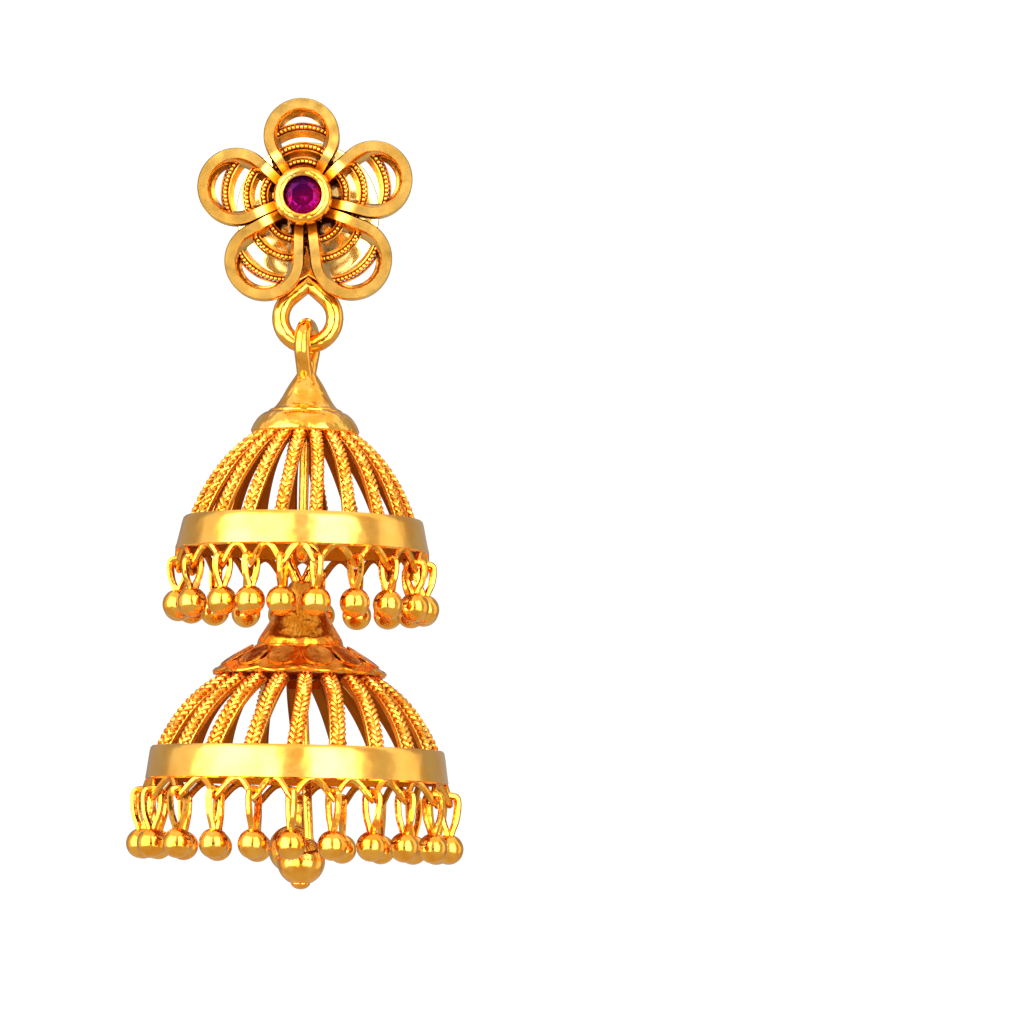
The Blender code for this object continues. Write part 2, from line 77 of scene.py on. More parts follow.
def made_node(tree, kind, inputs, **settings):
    """A node with its settings and inputs, each input a value or another node's output."""
    node = tree.nodes.new(kind)
    for name, value in settings.items():
        setattr(node, name, value)
    for name, value in inputs.items():
        if isinstance(value, bpy.types.NodeSocket):
            tree.links.new(value, node.inputs[name])
        else:
            node.inputs[name].default_value = value
    return node


def two_tones(tree, amount, first, first_at, second, second_at):
    """A blend from one colour to another as the amount rises."""
    blend = made_node(tree, "ShaderNodeValToRGB", {"Fac": amount})
    for stop, colour, place in zip(blend.color_ramp.elements, (first, second), (first_at, second_at)):
        stop.position = place
        stop.color = (*colour, 1.0)
    return blend.outputs["Color"]


def facing_inward(tree, place):
    """1 on faces turned to the line of the bells, 0 on those turned away from it."""
    offset = made_node(tree, "ShaderNodeVectorMath", {0: place, 1: axis}, operation="SUBTRACT")
    level = made_node(tree, "ShaderNodeVectorMath", {0: offset.outputs["Vector"], 1: (1.0, 1.0, 0.0)},
                      operation="MULTIPLY")
    outward = made_node(tree, "ShaderNodeVectorMath", {0: level.outputs["Vector"]},
                        operation="NORMALIZE")
    normal = made_node(tree, "ShaderNodeTexCoord", {}).outputs["Normal"]
    away = made_node(tree, "ShaderNodeVectorMath", {0: outward.outputs["Vector"], 1: normal},
                     operation="DOT_PRODUCT")
    return made_node(tree, "ShaderNodeMapRange", {"Value": away.outputs["Value"], "From Min": 0.1,
                                                  "From Max": -0.3}).outputs["Result"]


def gold_finish(name, tone, shade, roughness, grain, grain_depth, dent, dent_depth, inside=False,
                crevice=0.0):
    """A gold surface: two tones, fine grain from working it, and shallow dents from wear.

    With inside set, faces turned to the line of the bells are duller and get painted shade, a
    browner colour. With crevice set, places with other metal nearer than that get painted shade in brown
    too.
    """
    made = bpy.data.materials.new(name)
    made.use_nodes = True
    tree = made.node_tree
    place = made_node(tree, "ShaderNodeTexCoord", {}).outputs["Object"]

    def mottle(size, detail):
        texture = made_node(tree, "ShaderNodeTexNoise",
                            {"Scale": 1.0 / size, "Detail": detail, "Vector": place})
        return texture.outputs["Fac"]

    scratches = mottle(grain, 4.0)
    colour = two_tones(tree, mottle(dent, 3.0), shade, 0.35, tone, 0.62)
    rough = made_node(tree, "ShaderNodeMapRange", {
        "Value": scratches, "From Min": 0.3, "From Max": 0.7,
        "To Min": roughness * 0.85, "To Max": roughness * 1.15}).outputs["Result"]
    # Painted shade: faces turned to the bells' line are mixed toward a dark brown, and made duller.
    if inside:
        inside_shade_mask = facing_inward(tree, place)
        colour = made_node(tree, "ShaderNodeMix", {"Factor": inside_shade_mask, "A": colour, "B": INSIDE_SHADE},
                           data_type="RGBA").outputs[2]
        rough = made_node(tree, "ShaderNodeMix", {"Factor": inside_shade_mask, "A": rough, "B": 0.5}).outputs[0]
    # Painted shade: ambient occlusion mixes places with other metal near them toward a dark brown.
    if crevice:
        reach = made_node(tree, "ShaderNodeAmbientOcclusion", {"Distance": crevice}, samples=8)
        unshaded = made_node(tree, "ShaderNodeMapRange", {"Value": reach.outputs["AO"],
                                                          "From Min": 0.38, "From Max": 0.84})
        colour = made_node(tree, "ShaderNodeMix", {
            "Factor": unshaded.outputs["Result"], "A": CREVICE_SHADE, "B": colour},
            data_type="RGBA").outputs[2]
    dents = made_node(tree, "ShaderNodeBump",
                      {"Distance": dent_depth, "Height": mottle(dent * 0.6, 1.0)})
    marks = made_node(tree, "ShaderNodeBump", {"Distance": grain_depth, "Height": scratches,
                                               "Normal": dents.outputs["Normal"]})
    shader = tree.nodes["Principled BSDF"]
    shader.inputs["Metallic"].default_value = 1.0
    tree.links.new(colour, shader.inputs["Base Color"])
    tree.links.new(rough, shader.inputs["Roughness"])
    tree.links.new(marks.outputs["Normal"], shader.inputs["Normal"])
    return made


def piece(name, bm, finish, slot, body, *replaced):
    """Close a bmesh into a shaded object that rides on its body."""
    bmesh.ops.recalc_face_normals(bm, faces=bm.faces)
    mesh = bpy.data.meshes.new(name)
    bm.to_mesh(mesh)
    bm.free()
    mesh.shade_smooth()
    mesh.set_sharp_from_angle(angle=math.radians(42))
    obj = bpy.data.objects.new(name, mesh)
    bpy.context.scene.collection.objects.link(obj)
    obj.data.materials.append(finish)
    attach(obj, body)
    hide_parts(*replaced)
    return obj


def sweep(bm, path, outline, side, closed=False):
    """Extrude a closed outline from point to point of a path, then cap its ends or join them.

    The outline's first axis starts along side.
    """
    count = len(path)
    places = []
    across = Vector(side)
    for number, spot in enumerate(path):
        ahead = path[(number + 1) % count] if closed or number < count - 1 else spot
        behind = path[number - 1] if closed or number else spot
        forward = (ahead - behind).normalized()
        across = (across - forward * across.dot(forward)).normalized()
        turn = Matrix((across, forward.cross(across), forward)).transposed()
        places.append(Matrix.Translation(spot) @ turn.to_4x4())
    verts = [bm.verts.new(places[0] @ Vector((x, y, 0))) for x, y in outline]
    start = [bm.edges.new(pair) for pair in zip(verts, verts[1:] + verts[:1])]
    edges = start
    for before, after in zip(places, places[1:]):
        grown = bmesh.ops.extrude_edge_only(bm, edges=edges)["geom"]
        verts = [item for item in grown if isinstance(item, bmesh.types.BMVert)]
        edges = [item for item in grown if isinstance(item, bmesh.types.BMEdge)]
        bmesh.ops.transform(bm, matrix=after @ before.inverted(), verts=verts)
    if closed:
        bmesh.ops.bridge_loops(bm, edges=start + edges)
    else:
        bmesh.ops.contextual_create(bm, geom=start)
        bmesh.ops.contextual_create(bm, geom=edges)


def rounded(points, steps):
    """A smooth run through a few points, with so many steps from each to the next."""
    points = [Vector(point) for point in points]
    last = len(points) - 1
    run = []
    for number in range(last):
        near = [points[min(max(number + step, 0), last)] for step in (-1, 0, 1, 2)]
        for step in range(steps):
            t = step / steps
            run.append(0.5 * (2 * near[1] + (near[2] - near[0]) * t
                              + (2 * near[0] - 5 * near[1] + 4 * near[2] - near[3]) * t ** 2
                              + (3 * near[1] - near[0] - 3 * near[2] + near[3]) * t ** 3))
    return run + [points[-1]]


def bar(wide, deep, corner):
    """The outline of a flat bar with its corners rubbed off."""
    wide, deep = wide / 2, deep / 2
    return [(deep - corner, -wide), (deep, corner - wide), (deep, wide - corner), (deep - corner, wide),
            (corner - deep, wide), (-deep, wide - corner), (-deep, corner - wide), (corner - deep, -wide)]


def petal_half(centre, width, neck, neck_width, steps):
    """Half of a petal's outline: (along, across) from the tip round to the neck."""
    radius = width / 2
    inward = centre - neck
    reach = math.hypot(inward, neck_width / 2)
    tangent = math.pi - math.atan2(neck_width / 2, inward) - math.acos(radius / reach)
    half = []
    for step in range(steps + 1):
        angle = tangent * step / steps
        half.append((centre + radius * math.cos(angle), radius * math.sin(angle)))
    along, across = half[-1]
    for step in range(1, steps // 2 + 1):
        share = step / (steps // 2)
        half.append((along + share * (neck - along), across + share * (neck_width / 2 - across)))
    return half


def petal_point(angle, along, across, front):
    """A point of a petal that lies at an angle round the flower, so far in front of its back."""
    return Vector((along * math.cos(angle) - across * math.sin(angle), -front,
                   along * math.sin(angle) + across * math.cos(angle)))


# Its crevice setting paints shade in brown on the petals' inner walls.
satin_gold = gold_finish("satin_gold", (1.0, 0.61, 0.16), (0.86, 0.48, 0.10), 0.2,
                         0.6 * MM, 0.003 * MM, 2.6 * MM, 0.06 * MM, crevice=1.4 * MM)
# The strip's cut: (towards the front, away from the petal's middle). Its inner wall flares inward.
STRIP_FLARE = 0.32 * MM
face, outside = STRIP_DEPTH / 2, STRIP_WIDTH / 2
STRIP_CUT = (
    (face, outside - 0.07 * MM),
    (face - 0.1 * MM, outside),
    (-face, outside - 0.05 * MM),
    (-face, -outside - STRIP_FLARE),
    (face - 0.17 * MM, -outside - 0.03 * MM),
    (face, -outside + 0.09 * MM),
)
petals = bmesh.new()
for degrees, centre_share, width_share, neck_share in PETALS:
    centre = PETAL_CENTRE * centre_share
    width = PETAL_WIDTH * width_share - STRIP_WIDTH
    half = petal_half(centre, width, NECK_RADIUS, NECK_WIDTH * neck_share, 20)
    run = [(along, -across) for along, across in reversed(half)] + half[1:]
    path = []
    for along, across in run:
        bend = min(max((KNEE_START - along) / (KNEE_START - NECK_RADIUS), 0.0), 1.0)
        drop = KNEE_DROP * bend * bend * (3 - 2 * bend)
        path.append(petal_point(math.radians(degrees), along, across,
                                PETAL_FRONT - STRIP_DEPTH / 2 - drop))
    sweep(petals, path, STRIP_CUT, (0, -1, 0))
piece("petal_frames", petals, satin_gold, "petal_gold", "flower", "flower")

# The filigree behind each petal: three curved rows, each a thin leaning wall with a line of gold
# beads between two plain wires along its front edge. A twisted wire also runs round the back of
# each petal, and all of it is soldered to the strips.
ROW_SHARES = (0.56, 0.80, 1.10)
ROW_WALL = 0.2 * MM
ROW_DEPTH = 1.1 * MM
ROW_FRONT = 2.65 * MM
ROW_LEAN = 0.4 * MM
ROW_BOW = 0.06
ROW_BEAD = 0.15 * MM
BEAD_SPACING = 1.75 * ROW_BEAD
ROW_PLAIN = 0.16 * MM
PLAIN_ASIDE = 0.21 * MM
PLAIN_BACK = 0.1 * MM
RIM_TWIST = 0.19 * MM
RIM_PITCH = 0.62 * MM
RIM_FRONT = 2.2 * MM
RIM_WIDER = 0.25 * MM
RIM_NECK_WIDER = 1.2 * MM


def circle(radius, sides):
    """The outline of a round wire."""
    return [(radius * math.cos(2 * math.pi * side / sides), radius * math.sin(2 * math.pi * side / sides))
            for side in range(sides)]


def spaced(path, spacing):
    """The same path with its points at even steps."""
    lengths = [0.0]
    for before, after in zip(path, path[1:]):
        lengths.append(lengths[-1] + (after - before).length)
    count = max(2, round(lengths[-1] / spacing))
    even = []
    number = 0
    for step in range(count + 1):
        target = lengths[-1] * step / count
        while number < len(path) - 2 and lengths[number + 1] < target:
            number += 1
        share = (target - lengths[number]) / (lengths[number + 1] - lengths[number])
        even.append(path[number].lerp(path[number + 1], share))
    return even


def twisted(bm, path, side, wire, pitch, hand, strands=2, sides=5, steps=8):
    """Strands of one wire twisted together along a path; hand is 1 for a right-handed twist."""
    path = spaced(path, pitch / steps)
    across = Vector(side)
    frames = []
    for number, spot in enumerate(path):
        ahead = path[min(number + 1, len(path) - 1)]
        forward = (ahead - path[max(number - 1, 0)]).normalized()
        across = (across - forward * across.dot(forward)).normalized()
        frames.append((spot, across.copy(), forward.cross(across)))
    for strand in range(strands):
        run = []
        for number, (spot, first, second) in enumerate(frames):
            angle = 2 * math.pi * (hand * number / steps + strand / strands)
            run.append(spot + wire / 2 * (first * math.cos(angle) + second * math.sin(angle)))
        sweep(bm, run, circle(wire / 2, sides), side)


# Its crevice setting paints shade in brown between the rows and wires.
filigree_gold = gold_finish("filigree_gold", (0.98, 0.52, 0.11), (0.70, 0.30, 0.03), 0.24,
                            0.3 * MM, 0.004 * MM, 0.9 * MM, 0.02 * MM, crevice=0.9 * MM)
rows = bmesh.new()
rims = bmesh.new()
for degrees, centre_share, width_share, neck_share in PETALS:
    angle = math.radians(degrees)
    centre = PETAL_CENTRE * centre_share
    width = PETAL_WIDTH * width_share - STRIP_WIDTH
    neck_width = NECK_WIDTH * neck_share
    half = petal_half(centre, width, NECK_RADIUS, neck_width, 20)
    for share in ROW_SHARES:
        distance = share * centre
        across = max(spot[1] for spot in half if math.hypot(*spot) <= distance * 1.06)
        if distance > centre:
            across = math.sqrt(max(0.0, (width / 2) ** 2 - (distance - centre) ** 2)) * 0.98
        spread = math.asin(min(across / distance, 0.95))
        lines = {"wall": [], "beads": [], "upper": [], "lower": []}
        for step in range(17):
            turn = angle + spread * (step / 8 - 1)
            bow = distance * ROW_BOW * (1 - (step / 8 - 1) ** 2)
            for line, out, back in (("wall", 0.0, ROW_DEPTH / 2), ("beads", 0.0, 0.0),
                                    ("upper", PLAIN_ASIDE, PLAIN_BACK),
                                    ("lower", -PLAIN_ASIDE, PLAIN_BACK)):
                lines[line].append(petal_point(turn, distance + bow + out, 0, ROW_FRONT - back))
        deep, wide = ROW_DEPTH / 2, ROW_WALL / 2
        leaning = ((deep, wide), (-deep, wide - ROW_LEAN), (-deep, -wide - ROW_LEAN), (deep, -wide))
        sweep(rows, lines["wall"], leaning, (0, -1, 0))
        sweep(rows, lines["upper"], circle(ROW_PLAIN / 2, 6), (0, -1, 0))
        sweep(rows, lines["lower"], circle(ROW_PLAIN / 2, 6), (0, -1, 0))
        for spot in spaced(lines["beads"], BEAD_SPACING):
            bmesh.ops.create_icosphere(rows, subdivisions=2, radius=ROW_BEAD,
                                       matrix=Matrix.Translation(spot))
    outer = petal_half(centre, width + RIM_WIDER, NECK_RADIUS, neck_width + RIM_NECK_WIDER, 20)
    run = [(along, -across) for along, across in reversed(outer)] + outer[1:]
    path = [petal_point(angle, along, across, RIM_FRONT) for along, across in run]
    twisted(rims, path, (0, -1, 0), RIM_TWIST, RIM_PITCH, 1)
piece("petal_filigree", rows, filigree_gold, "petal_gold", "flower", "flower")
piece("petal_back_rims", rims, filigree_gold, "petal_gold", "flower", "flower")

# The bezel: a round cup of polished gold whose rim is rubbed over the stone. Behind it a thick
# tube reaches back to the ear, threaded inside for the screw post.
BEZEL_RADIUS = 1.85 * MM
BEZEL_FRONT = 3.95 * MM
BEZEL_BACK = 2.2 * MM
SOCKET_RADIUS = 1.25 * MM
SEAT_RADIUS = 1.32 * MM


def turned(bm, profile, steps, closed=False):
    """Spin an outline of (radius, height) points about the vertical."""
    start = len(bm.verts)
    verts = [bm.verts.new((radius, 0, height)) for radius, height in profile]
    edges = [bm.edges.new(pair) for pair in zip(verts, verts[1:])]
    if closed:
        edges.append(bm.edges.new((verts[-1], verts[0])))
    bmesh.ops.spin(bm, geom=verts + edges, cent=(0, 0, 0), axis=(0, 0, 1), angle=2 * math.pi,
                   steps=steps, use_merge=True)
    bm.verts.ensure_lookup_table()
    bmesh.ops.remove_doubles(bm, verts=bm.verts[start:], dist=0.0001 * MM)


cap_gold = gold_finish("cap_gold", (1.0, 0.57, 0.13), (0.95, 0.42, 0.05), 0.17,
                       0.5 * MM, 0.006 * MM, 0.9 * MM, 0.07 * MM)
facing = Matrix.Rotation(math.pi / 2, 4, "X")
bezel = bmesh.new()
# The cup's outline is (radius, height in front of the flower's back): its inside, its rim, and then
# its outside down to the tube.
rim = rounded(((SEAT_RADIUS, 3.35 * MM), (1.2 * MM, 3.62 * MM), (1.19 * MM, 3.82 * MM),
               (1.25 * MM, 3.9 * MM), (1.42 * MM, BEZEL_FRONT), (1.62 * MM, 3.9 * MM),
               (1.79 * MM, 3.72 * MM), (BEZEL_RADIUS, 3.4 * MM)), 3)
cup = [(0, 2.3 * MM), (0.9 * MM, 2.45 * MM), (SEAT_RADIUS, 3.1 * MM)] + [tuple(spot) for spot in rim]
cup += [(BEZEL_RADIUS, 2.5 * MM), (1.75 * MM, 2.3 * MM), (1.6 * MM, BEZEL_BACK),
        (SOCKET_RADIUS, 2.1 * MM), (SOCKET_RADIUS, 0.1 * MM), (SOCKET_RADIUS - 0.1 * MM, 0), (0, 0)]
turned(bezel, cup, 64)
bmesh.ops.transform(bezel, matrix=facing, verts=bezel.verts)
piece("bezel", bezel, cap_gold, "petal_gold", "flower", "flower")

# The stone: a small round ruby of a deep purple red, cut with an eight-sided table, crown facets
# and a pointed back, and set loose enough in the bezel to let light in from the front only.
STONE_FRONT = 3.85 * MM
# Its corners ring by ring, from the table to the point behind: how many, the ring's radius and its
# depth behind the table in mm, and its turn in degrees.
STONE_CUT = (
    (8, 0.72, 0.0, 22.5),
    (8, 1.03, 0.16, 0),
    (16, 1.25, 0.31, 0),
    (16, 1.25, 0.4, 0),
    (8, 0.62, 0.86, 22.5),
    (1, 0.0001, 1.28, 0),
)

ruby = bpy.data.materials.new("ruby")
ruby.use_nodes = True
ruby_tree = ruby.node_tree
ruby_shader = ruby_tree.nodes["Principled BSDF"]
ruby_shader.inputs["Roughness"].default_value = 0.03
ruby_shader.inputs["IOR"].default_value = 1.6
ruby_shader.inputs["Specular Tint"].default_value = (0.7, 0.08, 0.6, 1.0)
ruby_shader.inputs["Transmission Weight"].default_value = 0.85
# Its purple deepens towards the upper left and turns red towards the lower right.
ruby_place = made_node(ruby_tree, "ShaderNodeTexCoord", {}).outputs["Object"]
ruby_zones = made_node(ruby_tree, "ShaderNodeVectorMath",
                       {0: ruby_place, 1: Vector((0.6, 0.0, -0.8)) / (2.2 * MM)},
                       operation="DOT_PRODUCT")
ruby_shift = made_node(ruby_tree, "ShaderNodeMath", {0: ruby_zones.outputs["Value"], 1: 0.35})
ruby_tone = two_tones(ruby_tree, ruby_shift.outputs["Value"], (0.08, 0.002, 0.17), 0.0,
                      (0.55, 0.002, 0.085), 0.75)
ruby_tree.links.new(ruby_tone, ruby_shader.inputs["Base Color"])
stone = bmesh.new()
for count, radius, depth, turn in STONE_CUT:
    place = Matrix.Translation((0, 0, STONE_FRONT - depth * MM))
    place = place @ Matrix.Rotation(math.radians(turn), 4, "Z")
    bmesh.ops.create_circle(stone, segments=count, radius=radius * MM, matrix=place)
bmesh.ops.convex_hull(stone, input=stone.verts)
bmesh.ops.delete(stone, geom=[edge for edge in stone.edges if not edge.link_faces], context="EDGES")
bmesh.ops.transform(stone, matrix=facing, verts=stone.verts)
gem = piece("cut_stone", stone, ruby, "ruby", "flower", "centre_stone")
gem.data.shade_flat()

# The ring under the flower: one thick round wire bent to a drop shape, its point soldered behind
# the two lower petals. The upper bell's eye hangs in it.
RING_WIRE = 1.1 * MM
RING_RADIUS = 1.7 * MM
RING_APEX = 2.25 * MM
RING_Z = -7.53 * MM


def drop_loop(radius, apex, steps):
    """A drop-shaped loop about (0, 0), round on one side, with its point at (0, -apex)."""
    lean = math.acos(radius / apex)
    sweep_angle = 2 * (math.pi - lean)
    loop = []
    for step in range(steps + 1):
        angle = lean - math.pi / 2 + sweep_angle * step / steps
        loop.append((radius * math.cos(angle), radius * math.sin(angle)))
    last = Vector(loop[-1])
    point = Vector((0, -apex))
    straight = [last.lerp(point, share) for share in (0.35, 0.7, 1.0)]
    back = [point.lerp(Vector(loop[0]), share) for share in (0.3, 0.65)]
    return loop + [tuple(spot) for spot in straight + back]


polished_gold = gold_finish("polished_gold", (1.0, 0.52, 0.10), (0.9, 0.38, 0.04), 0.12,
                            0.6 * MM, 0.004 * MM, 1.0 * MM, 0.05 * MM)
ring = bmesh.new()
path = [axis + Vector((x, 0, RING_Z - z)) for x, z in drop_loop(RING_RADIUS, RING_APEX, 28)]
sweep(ring, path, circle(RING_WIRE / 2, 16), (0, -1, 0), closed=True)
piece("flower_ring", ring, polished_gold, "petal_gold", "flower", "flower")

# The ear screw: a post with a broad round back disc and a short hub, turned in one piece from a
# paler polished gold. It clamps the ear lobe against the flower.
pale_gold = gold_finish("pale_gold", (1.0, 0.74, 0.30), (1.0, 0.68, 0.22), 0.12,
                        0.2 * MM, 0.001 * MM, 2.2 * MM, 0.02 * MM)
screw = bmesh.new()
# Its outline in mm, (radius, height in front of the flower's back), from the post's front end.
shaft = [(0, -0.1), (0.42, -0.1), (0.5, -0.18), (0.5, -4.5), (0.56, -4.6), (4.4, -4.6), (4.54, -4.66),
         (4.6, -4.8), (4.6, -4.9), (4.54, -5.04), (4.4, -5.1), (1.9, -5.1), (1.6, -5.2), (1.5, -5.4),
         (1.5, -5.7), (1.42, -5.76), (1.5, -5.82), (1.5, -6.6), (1.42, -6.66), (1.5, -6.72),
         (1.5, -6.95), (1.35, -7.1), (0.62, -7.1), (0.5, -7.16), (0.5, -7.95), (0.38, -8.1), (0, -8.1)]
turned(screw, [(radius * MM, height * MM) for radius, height in shaft], 72)
bmesh.ops.transform(screw, matrix=facing, verts=screw.verts)
piece("ear_screw_disc", screw, pale_gold, "screw_gold", "flower", "ear_screw")

# The upper bell's cap: a turned cone on a rounded skirt, with a thick wire eye soldered into its
# top. The eye is turned a little to one side and hangs in the flower's ring.
EYE_WIRE = 1.0 * MM
EYE_TURN = math.radians(14)
LINK_GAP = 0.15 * MM
EYE_NECK = 2.5 * MM
on_axis = Matrix.Translation(axis)
UPPER_HINGE_Z = RING_Z - RING_RADIUS

cap = bmesh.new()
# Outlines of the cone and then of the skirt: (radius, height) in mm.
outline = rounded(((0.60, -11.05), (0.80, -11.35), (1.15, -11.9), (1.47, -12.5), (1.75, -12.95),
                   (2.0, -13.24), (2.22, -13.34), (2.33, -13.44)), 3)
outline += rounded(((2.33, -13.5), (2.6, -13.58), (2.95, -13.86), (3.22, -14.25), (3.36, -14.55),
                    (3.4, -14.7), (3.34, -14.84)), 3)
profile = [(0, -10.95), (0.4, -10.95)] + [tuple(spot) for spot in outline]
profile += [(3.2, -14.9), (2.9, -14.9), (2.4, -14.2), (1.2, -13.6), (0, -13.5)]
turned(cap, [(radius * MM, height * MM) for radius, height in profile], 72)
bmesh.ops.transform(cap, matrix=on_axis, verts=cap.verts)
piece("upper_cap", cap, cap_gold, "bell_gold", "upper_bell", "upper_bell")

eye = bmesh.new()
eye_radius = RING_WIRE / 2 + LINK_GAP + EYE_WIRE / 2
path = []
for across, up in drop_loop(eye_radius, EYE_NECK, 24):
    path.append(axis + Vector((across * math.sin(EYE_TURN), across * math.cos(EYE_TURN),
                               UPPER_HINGE_Z + up)))
sweep(eye, path, circle(EYE_WIRE / 2, 14), (1, 0, 0), closed=True)
piece("upper_eye", eye, polished_gold, "bell_gold", "upper_bell", "upper_bell")

# The upper bell's cage: twenty leaning ribs. Each rib is a plain gold strip faced with two
# twisted pairs of wire laid side by side, one twisted left and one right, so that they make a
# wheat-ear pattern pointing up.
UPPER_RIB = 0.78 * MM
RIBS = 20
RIB_LEAN = math.radians(-6.5)
RIB_PITCH = 0.78 * MM
RIB_STEPS = 24
# How far out and how far down from head to foot a rib's bow is fullest, as shares of the whole.
BOW_OUT, BOW_DOWN = 0.68, 0.29
# Shares of a rib's width: the strip's depth, its rubbed corners and its place behind the wires,
# then the wire's thickness and how far aside and in front each twisted pair lies.
STRIP_DEEP, STRIP_CORNER, STRIP_BEHIND = 0.66, 0.2, 0.2
BRAID_WIRE, BRAID_ASIDE, BRAID_BEFORE = 0.29, 0.24, 0.12


def rib_line(head, foot):
    """A rib's middle line from head to foot, with the direction out of the bell at each point."""
    bow = (head[0] + BOW_OUT * (foot[0] - head[0]), head[1] + BOW_DOWN * (foot[1] - head[1]))
    line = []
    for step in range(RIB_STEPS + 1):
        t = step / RIB_STEPS
        shares = ((1 - t) ** 2, 2 * t * (1 - t), t ** 2)
        radius = sum(share * spot[0] for share, spot in zip(shares, (head, bow, foot)))
        height = sum(share * spot[1] for share, spot in zip(shares, (head, bow, foot)))
        angle = RIB_LEAN * (t - 0.5)
        line.append(Vector((radius * math.cos(angle), radius * math.sin(angle), height)))
    outward = []
    for step, spot in enumerate(line):
        forward = (line[min(step + 1, RIB_STEPS)] - line[max(step - 1, 0)]).normalized()
        round_about = Vector((-spot.y, spot.x, 0)).normalized()
        outward.append(round_about.cross(forward).normalized())
    if outward[0].x < 0:
        outward = [-direction for direction in outward]
    return line, outward


def braided_ribs(name, head, foot, size, phase, body):
    """All ribs of a bell: one rib is made, then spun round the bell in copies."""
    line, outward = rib_line(head, foot)
    rib = bmesh.new()
    core = [spot - out * STRIP_BEHIND * size for spot, out in zip(line, outward)]
    sweep(rib, core, bar(size, STRIP_DEEP * size, STRIP_CORNER * size), outward[0])
    for hand, aside in ((1, BRAID_ASIDE), (-1, -BRAID_ASIDE)):
        pair = []
        for step, (spot, out) in enumerate(zip(line, outward)):
            forward = (line[min(step + 1, RIB_STEPS)] - line[max(step - 1, 0)]).normalized()
            pair.append(spot + out * BRAID_BEFORE * size + out.cross(forward) * aside * size)
        twisted(rib, pair, outward[0], BRAID_WIRE * size, RIB_PITCH, hand, 2, 6, 9)
    first = Matrix.Rotation(2 * math.pi * phase / RIBS, 4, "Z")
    bmesh.ops.transform(rib, matrix=first, verts=rib.verts)
    bmesh.ops.recalc_face_normals(rib, faces=rib.faces)
    bmesh.ops.spin(rib, geom=rib.verts[:] + rib.edges[:] + rib.faces[:], cent=(0, 0, 0), axis=(0, 0, 1),
                   angle=2 * math.pi * (RIBS - 1) / RIBS, steps=RIBS - 1, use_duplicate=True)
    bmesh.ops.transform(rib, matrix=on_axis, verts=rib.verts)
    piece(name, rib, braid_gold, "bell_gold", body, body)


# Its inside setting paints shade in brown on the ribs' inner faces.
braid_gold = gold_finish("braid_gold", (1.0, 0.54, 0.11), (0.9, 0.40, 0.05), 0.28,
                         0.4 * MM, 0.002 * MM, 1.2 * MM, 0.01 * MM, inside=True)
braided_ribs("upper_ribs", (2.75 * MM, -14.85 * MM), (7.13 * MM, -21.1 * MM), UPPER_RIB, 0.63,
             "upper_bell")

# The upper bell's band: a plain strip of gold bent to a hoop that flares a little, soldered round
# the ribs' feet. It is hand finished, so its face is slightly uneven and its edges are soft.
BAND_WALL = 0.5 * MM
BAND_SOFT = 0.1 * MM
# Unevenness of its face: how long and how deep the slow waves and the fine marks are.
SLOW_WAVE, SLOW_DEPTH = 2.6 * MM, 0.035 * MM
FINE_WAVE, FINE_DEPTH = 1.0 * MM, 0.008 * MM


def band_hoop(name, top, low, top_radius, low_radius, seed, body):
    """A flared hoop with softened edges and a slightly uneven face."""
    hoop = bmesh.new()
    section = [(top_radius - BAND_SOFT, top), (top_radius, top - BAND_SOFT)]
    for share in (0.2, 0.4, 0.6, 0.8):
        section.append((top_radius + share * (low_radius - top_radius), top + share * (low - top)))
    section += [(low_radius, low + BAND_SOFT), (low_radius - BAND_SOFT, low),
                (low_radius - BAND_WALL, low), (top_radius - BAND_WALL, top)]
    turned(hoop, section, 160, closed=True)
    for vert in hoop.verts:
        slow = noise.noise(vert.co / SLOW_WAVE + Vector((seed, 0, 0)))
        fine = noise.noise(vert.co / FINE_WAVE + Vector((0, seed, 0)))
        out = Vector((vert.co.x, vert.co.y, 0)).normalized()
        vert.co += out * (SLOW_DEPTH * slow + FINE_DEPTH * fine)
    bmesh.ops.transform(hoop, matrix=on_axis, verts=hoop.verts)
    piece(name, hoop, band_gold, "bell_gold", body, body)


# Its inside setting paints shade in brown on the band's inner face.
band_gold = gold_finish("band_gold", (1.0, 0.58, 0.14), (0.98, 0.48, 0.08), 0.2,
                        0.4 * MM, 0.002 * MM, 2.6 * MM, 0.06 * MM, inside=True)
band_hoop("upper_band", -20.2 * MM, -22.3 * MM, 7.5 * MM, 7.97 * MM, 3.0, "upper_bell")

# The wavy wire under the upper band: one round wire bent to and fro, its crests soldered inside
# the band's lower edge and its feet left free for the drops.
FRINGE_WIRE = 0.44 * MM
FRINGE_DROP = 1.2 * MM
CREST_RISE = 0.05 * MM
CREST_SHAPE = 1.1
WAVE_STEPS = 14


def drop_angle(number, fringe):
    """Where a drop, or a place between two, is round its bell, counted from the front."""
    count, phase, setting, _ = fringe
    whole = math.floor(number)
    share = number - whole
    shift = (1 - share) * setting[whole % count] + share * setting[(whole + 1) % count]
    return 2 * math.pi * (number + phase) / count - math.pi / 2 + math.radians(shift)


